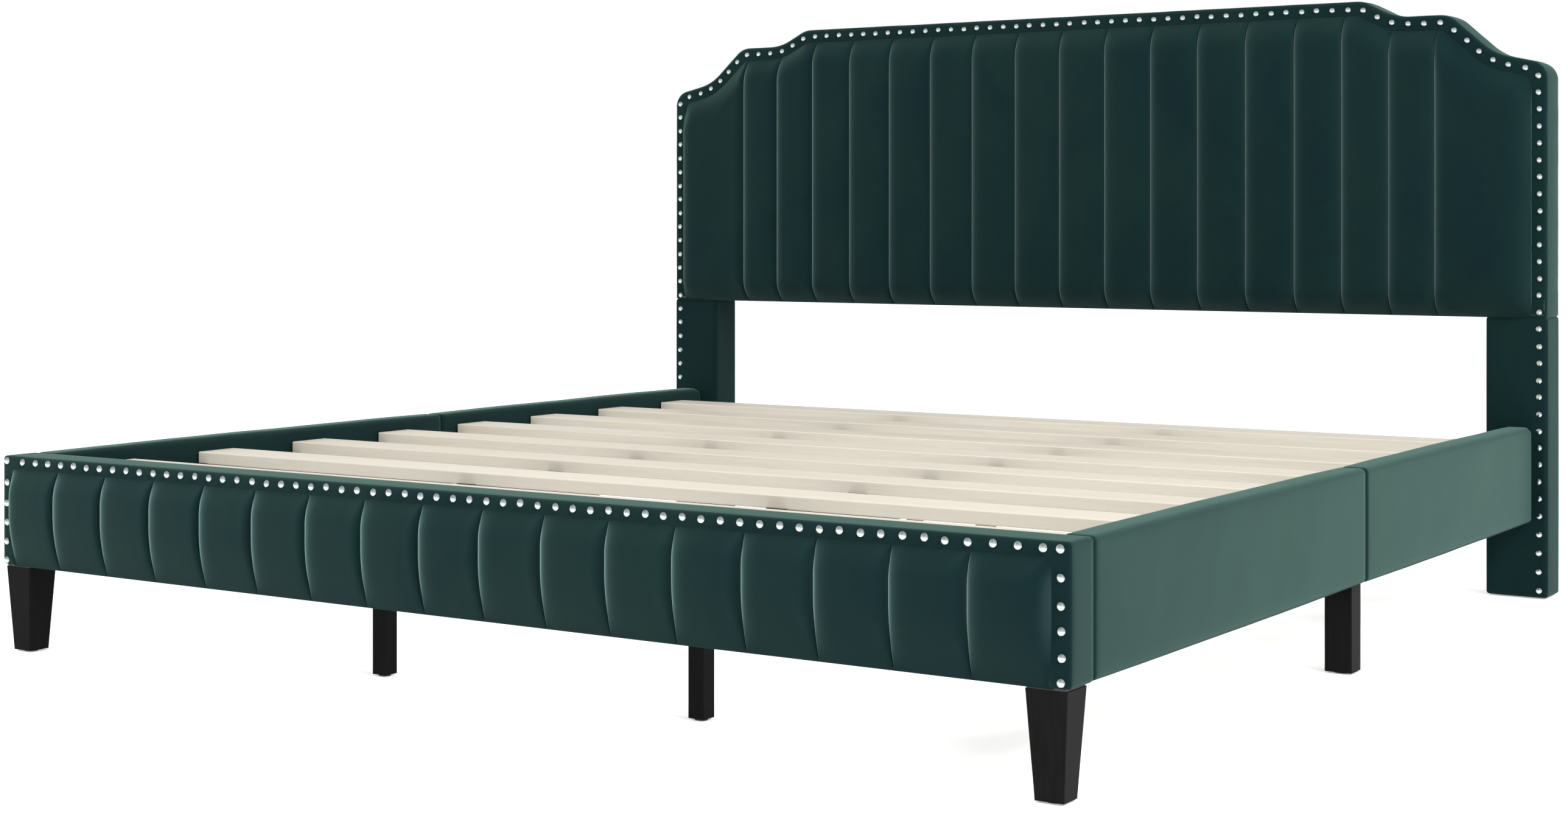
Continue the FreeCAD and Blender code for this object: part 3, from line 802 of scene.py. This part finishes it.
def padded_block(name, low, high, radius, spacing, crown, seed, mould=None, sheen_shade=0.0):
    """A block with rounded edges, whose six faces are one closed grid.

    Every point q of a sharp-edged box goes to c + radius * (q - c) / |q - c|, with c the nearest point of
    the box drawn in by the radius. The faces crown outwards by crown * (1 - u^4) * (1 - v^4), with u and
    v from -1 to 1 across the face, and ripple softly. mould(points, normals) gives one more outward move.
    """
    low, high = np.array(low, float), np.array(high, float)
    places = [edge_places(low[k], high[k], radius, spacing[k]) for k in range(3)]
    q = np.stack(np.meshgrid(*places, indexing="ij"), axis=-1)
    shape = q.shape[:3]
    outside = np.zeros(shape, bool)
    for k in range(3):
        index = np.arange(shape[k])
        ends = (index == 0) | (index == shape[k] - 1)
        outside |= ends.reshape([-1 if m == k else 1 for m in range(3)])
    number = np.full(shape, -1)
    number[outside] = np.arange(outside.sum())
    quads = []
    for k in range(3):
        for end in (0, -1):
            sheet = np.take(number, end, axis=k)
            quad = np.stack([sheet[:-1, :-1], sheet[1:, :-1], sheet[1:, 1:], sheet[:-1, 1:]], axis=-1)
            quad = quad.reshape(-1, 4)
            quads.append(quad if (end == -1) == (k != 1) else quad[:, ::-1])
    q = q[outside]
    core = np.clip(q, low + radius, high - radius)
    normal = (q - core) / np.linalg.norm(q - core, axis=1, keepdims=True)
    points = core + radius * normal
    across = 1 - np.clip(np.abs(2 * (points - low) / (high - low) - 1), 0, 1) ** 4
    face = np.stack([across[:, 1] * across[:, 2], across[:, 0] * across[:, 2], across[:, 0] * across[:, 1]],
                    axis=1)
    weight = (normal ** 2 * face).sum(1)
    lift = weight * crown * (1 + 0.45 * soft_noise(points, 0.35, seed, octaves=4))
    if mould is not None:
        lift = lift + mould(points, normal)
    obj = build_mesh(name, points + normal * lift[:, None], np.concatenate(quads))
    # Painted shade in the sheen: the piece's own amount, and more on faces that turn downwards.
    set_attribute(obj, "sheen_shade", np.maximum(sheen_shade, np.clip(-1.6 * normal[:, 2], 0, 1)))
    return obj


def rail_covers():
    """Four velvet covers, two to a side, that meet in a seam at mid-length.

    At the head end each cover's height shrinks as two round corners do, the upper one twice the lower.
    """
    shape, _, _ = settings()
    for number, (side, end) in enumerate([(s, e) for s in ("left", "right") for e in ("foot", "head")]):
        node_name = "rail_cover_%s_%s" % (side, end)
        low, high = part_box(node_name)
        # Each cover carries a little painted shade in its sheen.
        obj = padded_block(node_name + "_velvet", low, high, shape.rail_corner, (0.008, 0.012, 0.009), 0.0020,
                           40 + number, sheen_shade=RAIL_SHEEN_SHADE)
        if end == "head":
            points = coordinates(obj)
            from_tip = high.y - points[:, 1]
            top = high.z - end_drop(from_tip, shape.rail_end)
            bottom = low.z + end_drop(from_tip, shape.rail_end / 2)
            points[:, 2] = bottom + (points[:, 2] - low.z) / (high.z - low.z) * (top - bottom)
            obj.data.vertices.foreach_set("co", points.ravel())
            obj.data.update()
        finish_piece(obj, material("dark green velvet"), [node_name])


def end_drop(distance, radius):
    """How far a round corner has fallen at a distance from its tip.

    The fall is radius - sqrt(radius^2 - (radius - distance)^2), and none past the radius.
    """
    gap = radius - np.clip(distance, 0, radius)
    return radius - np.sqrt(radius ** 2 - gap ** 2)


def post_covers():
    """A velvet sleeve round each headboard post, puckered a little under its nails."""
    shape, _, _ = settings()
    for number, side in enumerate(("left", "right")):
        node_name = "post_cover_" + side
        low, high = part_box(node_name)
        nails = nail_places("post_nails_" + side)

        def pucker(points, normal):
            """Stands the front up between the nails."""
            return nail_pucker(points[:, 0], points[:, 2], nails) * (normal[:, 1] < -0.99)

        # The sleeve carries strong painted shade in its sheen.
        obj = padded_block(node_name + "_velvet", low, high, shape.corner, (0.005, 0.009, 0.005), 0.0010,
                           60 + number, pucker, sheen_shade=POST_SHEEN_SHADE)
        finish_piece(obj, material("dark green velvet"), [node_name])


def footboard_band():
    """The footboard's velvet cover: puckered under the nails, and pressed in behind the channelled pad.

    The front is pressed in over 6 mm inwards from the pad's ends and over 50 mm down from its top.
    """
    shape, _, _ = settings()
    low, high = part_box("footboard_wrap")
    pad_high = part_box("footboard_pad")[1]
    nails = nail_places("footboard_nails")

    def mould(points, normal):
        """Stands the front up between the nails and presses it in behind the pad."""
        x, z = points[:, 0], points[:, 2]
        pucker = nail_pucker(x, z, nails) * (normal[:, 1] < -0.99)
        beside = np.clip((pad_high.x - 0.003 - np.abs(x)) / 0.006, 0, 1)
        below = np.clip((pad_high.z - 0.012 - z) / 0.050, 0, 1)
        return pucker - PRESSED_IN * beside * below * np.clip(-normal[:, 1], 0, 1)

    # The cover carries painted shade in its sheen.
    obj = padded_block("footboard_band", low, high, shape.corner, (0.0047, 0.009, 0.0055), 0.0008, 71, mould,
                       sheen_shade=FOOT_BAND_SHEEN_SHADE)
    return finish_piece(obj, material("dark green velvet"), ["footboard_wrap"])


def footboard_lining():
    """The velvet panel on the mattress side of the footboard, drawn in at its stitched edge.

    It rises by 3 mm times the square root of a dome over the first 30 mm from its edge, and ripples softly.
    """
    low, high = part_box("footboard_lining")
    x = np.linspace(low.x + 0.012, high.x - 0.012, 200)
    z = np.linspace(low.z + 0.012, high.z - 0.010, 26)
    grid_x, grid_z = np.meshgrid(x, z)
    edge = np.minimum(np.minimum(grid_x - x[0], x[-1] - grid_x), np.minimum(grid_z - z[0], z[-1] - grid_z))
    lift = 0.0006 + 0.0030 * np.sqrt(dome(edge, 0.03, 2.0))
    points = np.stack([grid_x, high.y + lift, grid_z], axis=-1)
    points[..., 1] += 0.0004 * soft_noise(points, 0.15, 81)
    obj = closed_panel("footboard_inner_lining", points[:, ::-1], high.y - 0.003)
    return finish_piece(obj, material("dark green velvet"), ["footboard_lining"])


def back_cloth():
    """The thin cloth over the headboard's back: flat within the outline, with a soft ripple of 0.6 mm."""
    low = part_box("headboard_back_cloth")[0]
    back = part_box("headboard_wrap")[1].y
    inset = 0.024
    half = SHOULDER[0, 0] - inset
    x = np.linspace(-half, half, 260)
    top = pad_top(x, inset, 0.0)
    share = np.linspace(0, 1, 70)
    bottom = low.z + 0.010
    grid_x = np.repeat(x[None], len(share), axis=0)
    z = bottom + (top - bottom)[None] * share[:, None]
    points = np.stack([grid_x, np.full_like(z, back + 0.0022), z], axis=-1)
    points[..., 1] += 0.0006 * soft_noise(points, 0.22, 91, octaves=4)
    obj = build_mesh("headboard_back_sheet", points[:, ::-1], grid_quads(len(share), len(x)))
    solid = obj.modifiers.new("cloth thickness", "SOLIDIFY")
    solid.thickness = 0.0008
    solid.offset = 1.0
    finish_piece(obj, material("black backing cloth"), ["headboard_back_cloth"])
    return obj


def nail_heads():
    """Domed nail heads: a quarter-ellipse turned about each nail's axis, each leaning a little its own way.

    Painted shade darkens each head towards its rim, and a painted reflection darkens a small patch on its
    upper half.
    """
    shape, _, _ = settings()
    groups = [("headboard_nails", 101), ("post_nails_left", 102), ("post_nails_right", 103),
              ("footboard_nails", 104)]
    rings, segments = 5, 14
    rise = np.linspace(0, np.pi / 2, rings + 1)[:-1]
    around = 2 * np.pi * np.arange(segments) / segments
    ring_radius = shape.nail_radius * np.concatenate([[0.97], np.cos(rise)])
    ring_height = np.concatenate([[-NAIL_SKIRT], NAIL_FOOT + NAIL_DOME * np.sin(rise)])
    profile = np.stack([ring_radius[:, None] * np.cos(around), -ring_height[:, None] + 0 * around,
                        ring_radius[:, None] * np.sin(around)], axis=-1).reshape(-1, 3)
    profile = np.concatenate([profile, [[0, -NAIL_FOOT - NAIL_DOME, 0]]])
    # Painted shade falls towards the rim; a painted dark reflection darkens a patch on the upper half.
    radial = np.repeat(np.clip(1.15 * np.arange(-1, rings) / rings + 0.1, 0, 1), segments)
    from_patch = np.hypot(profile[:, 0], profile[:, 2] - 0.6 * shape.nail_radius)
    painted_shade = np.append(radial, 1.0) * (1 - 0.8 * np.exp(-(from_patch / (0.42 * shape.nail_radius)) ** 2))
    quads = grid_quads(rings + 1, segments, wrap_columns=True)
    tip = len(profile) - 1
    last = rings * segments + np.arange(segments)
    fan = np.stack([last, np.roll(last, -1), np.full(segments, tip)], axis=1)
    for name, seed in groups:
        places = nail_places(name)
        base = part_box(name)[1].y
        random = np.random.default_rng(seed)
        lean = random.normal(0, 0.05, (len(places), 2))
        slide = random.normal(0, 0.0005, (len(places), 2))
        points = np.repeat(profile[None], len(places), axis=0)
        points[..., 1] += points[..., 0] * lean[:, :1] + points[..., 2] * lean[:, 1:]
        points[..., 0] += places[:, :1] + slide[:, :1]
        points[..., 2] += places[:, 2:] + slide[:, 1:]
        points[..., 1] += base
        shift = (np.arange(len(places)) * len(profile))[:, None, None]
        all_quads = (quads[None] + shift).reshape(-1, 4)
        all_fans = (fan[None] + shift).reshape(-1, 3)
        obj = build_mesh(name + "_domes", points, all_quads, caps=all_fans)
        set_attribute(obj, "painted_shade", np.tile(painted_shade, len(places)))
        finish_piece(obj, material("polished nickel"), [name])


def paint_nodes(material_name, *names):
    """Gives CAD nodes, whose shape stays, a procedural material."""
    for name in names:
        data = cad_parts[name].data
        data.materials.clear()
        data.materials.append(material(material_name))


def named_nodes(*starts):
    """The frame's nodes whose names have one of these starts, in order."""
    return [name for name in sorted(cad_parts) if name.startswith(starts)]


# ---------------------------------------------------------------- operators

class BED_OT_headboard(bpy.types.Operator):
    """Make the headboard's channelled pad, its edge band and its back cloth."""

    bl_idname = "bed.headboard"
    bl_label = "Headboard"

    def execute(self, context):
        headboard_panel()
        headboard_band()
        back_cloth()
        paint_nodes("sawn timber", "headboard_board", "headboard_frame")
        return {"FINISHED"}


class BED_OT_footboard(bpy.types.Operator):
    """Make the footboard's channelled pad, its cover and its inner lining."""

    bl_idname = "bed.footboard"
    bl_label = "Footboard"

    def execute(self, context):
        footboard_panel()
        footboard_band()
        footboard_lining()
        paint_nodes("sawn timber", "footboard_board", "footboard_frame")
        return {"FINISHED"}


class BED_OT_rails(bpy.types.Operator):
    """Make the velvet covers of the side rails."""

    bl_idname = "bed.rails"
    bl_label = "Side rails"

    def execute(self, context):
        rail_covers()
        paint_nodes("sawn timber", *named_nodes("rail_board"))
        paint_nodes("black satin lacquer", *named_nodes("slat_ledge"))
        return {"FINISHED"}


class BED_OT_posts(bpy.types.Operator):
    """Make the velvet sleeves of the headboard posts."""

    bl_idname = "bed.posts"
    bl_label = "Headboard posts"

    def execute(self, context):
        post_covers()
        paint_nodes("sawn timber", *named_nodes("post_core"))
        return {"FINISHED"}


class BED_OT_nails(bpy.types.Operator):
    """Make the domed nail heads."""

    bl_idname = "bed.nails"
    bl_label = "Nail heads"

    def execute(self, context):
        nail_heads()
        return {"FINISHED"}


class BED_OT_slats(bpy.types.Operator):
    """Finish the pine slats and their screws."""

    bl_idname = "bed.slats"
    bl_label = "Slats"

    def execute(self, context):
        slats = [name for name in named_nodes("slat_") if name[5:].isdigit()]
        paint_nodes("pale pine", *slats)
        paint_nodes("bright zinc", "slat_screws")
        return {"FINISHED"}


class BED_OT_legs(bpy.types.Operator):
    """Finish the legs, beams and glides."""

    bl_idname = "bed.legs"
    bl_label = "Legs and beams"

    def execute(self, context):
        legs = ["foot_leg_left", "foot_leg_right", "rail_leg_left", "rail_leg_right", "head_cross_rail"]
        paint_nodes("black satin lacquer", *legs, *named_nodes("centre_beam", "centre_legs"))
        paint_nodes("black plastic", "floor_glides")
        return {"FINISHED"}


class BED_OT_hardware(bpy.types.Operator):
    """Finish the plates, brackets and bolts."""

    bl_idname = "bed.hardware"
    bl_label = "Brackets and bolts"

    def execute(self, context):
        plates = named_nodes("corner_brackets", "rail_joining_plates", "post_joining_plates", "leg_plates",
                             "beam_hangers")
        paint_nodes("black powder coat", *plates)
        bolts = named_nodes("corner_bolts", "rail_joining_bolts", "post_joining_bolts", "foot_leg_hanger")
        paint_nodes("bright zinc", *bolts)
        return {"FINISHED"}


class BED_OT_stage(bpy.types.Operator):
    """Set the camera, the floor and the studio light."""

    bl_idname = "bed.stage"
    bl_label = "Camera, floor and light"

    def execute(self, context):
        set_camera()
        set_floor()
        set_lights()
        return {"FINISHED"}


def set_camera():
    """A level camera, so that uprights stay upright, with its lens shifted to frame the bed."""
    _, _, stage = settings()
    data = bpy.data.cameras.new("camera")
    camera = bpy.data.objects.new("camera", data)
    bpy.context.scene.collection.objects.link(camera)
    camera.location = stage.eye
    camera.rotation_euler = (math.pi / 2, 0, stage.yaw)
    data.lens = stage.lens
    data.sensor_width = SENSOR_WIDTH
    data.shift_x, data.shift_y = stage.shift
    data.clip_end = 200.0
    bpy.context.scene.camera = camera


def set_floor():
    """A pale floor: one flat square at the height of the feet, lit a little from itself."""
    _, _, stage = settings()
    half = stage.floor_size / 2
    corners = np.array([[-half, -half, 0], [half, -half, 0], [half, half, 0], [-half, half, 0]])
    floor = build_mesh("floor", corners, np.array([[0, 1, 2, 3]]))
    made, tree, shader, place = new_material("pale floor")
    soft = noise(tree, place, 0.6, detail=2.0)
    tree.links.new(blend_colours(tree, soft, (0.90, 0.90, 0.90), (0.93, 0.93, 0.93)),
                   shader.inputs["Base Color"])
    shader.inputs["Roughness"].default_value = 0.9
    shader.inputs["Specular IOR Level"].default_value = 0.1
    shader.inputs["Emission Color"].default_value = (1.0, 1.0, 1.0, 1.0)
    shader.inputs["Emission Strength"].default_value = 0.40
    floor.data.materials.append(made)


def add_area_light(name, place, target, size, power):
    """A white rectangular light aimed at a target. Glossy surfaces don't mirror it."""
    data = bpy.data.lights.new(name, "AREA")
    data.shape = "RECTANGLE"
    data.size, data.size_y = size
    data.energy = power
    light = bpy.data.objects.new(name, data)
    bpy.context.scene.collection.objects.link(light)
    light.location = place
    aim = np.array(target, float) - np.array(place, float)
    heading = math.atan2(aim[1], aim[0]) - math.pi / 2
    tilt = math.atan2(math.hypot(aim[0], aim[1]), -aim[2])
    light.rotation_euler = (tilt, 0, heading)
    light.visible_glossy = False


def set_lights():
    """A bright even surround, a large soft light from the right and a weaker one from the front."""
    scene = bpy.context.scene
    world = bpy.data.worlds.new("studio")
    world.use_nodes = True
    background = world.node_tree.nodes["Background"]
    background.inputs["Color"].default_value = (1.0, 1.0, 1.0, 1.0)
    background.inputs["Strength"].default_value = 1.0
    scene.world = world
    add_area_light("key", (5.0, -1.5, 4.2), (0.0, 0.0, 0.4), (3.5, 2.5), 420.0)
    add_area_light("front", (-1.0, -5.5, 3.6), (0.0, -0.4, 0.4), (3.0, 2.0), 160.0)
    scene.view_settings.view_transform = "Standard"


class BED_PT_panel(bpy.types.Panel):
    """Buttons for every group of pieces."""

    bl_idname = "BED_PT_panel"
    bl_label = "Upholstered bed"
    bl_space_type = "VIEW_3D"
    bl_region_type = "UI"
    bl_category = "Bed"

    def draw(self, context):
        for operator in OPERATORS:
            self.layout.operator(operator.bl_idname)


OPERATORS = (BED_OT_headboard, BED_OT_footboard, BED_OT_rails, BED_OT_posts, BED_OT_nails, BED_OT_slats,
             BED_OT_legs, BED_OT_hardware, BED_OT_stage)
CLASSES = (ShapeSettings, FinishSettings, StageSettings, *OPERATORS, BED_PT_panel)


def register():
    """Registers the classes and hangs the settings on the scene."""
    for cls in CLASSES:
        bpy.utils.register_class(cls)
    bpy.types.Scene.bed_shape = PointerProperty(type=ShapeSettings)
    bpy.types.Scene.bed_finish = PointerProperty(type=FinishSettings)
    bpy.types.Scene.bed_stage = PointerProperty(type=StageSettings)


def unregister():
    """Takes the settings and the classes away again."""
    del bpy.types.Scene.bed_stage
    del bpy.types.Scene.bed_finish
    del bpy.types.Scene.bed_shape
    for cls in reversed(CLASSES):
        bpy.utils.unregister_class(cls)


def main():
    """Makes the bed group by group."""
    register()
    for operator in OPERATORS:
        group, name = operator.bl_idname.split(".")
        getattr(getattr(bpy.ops, group), name)()


if __name__ == "__main__":
    main()
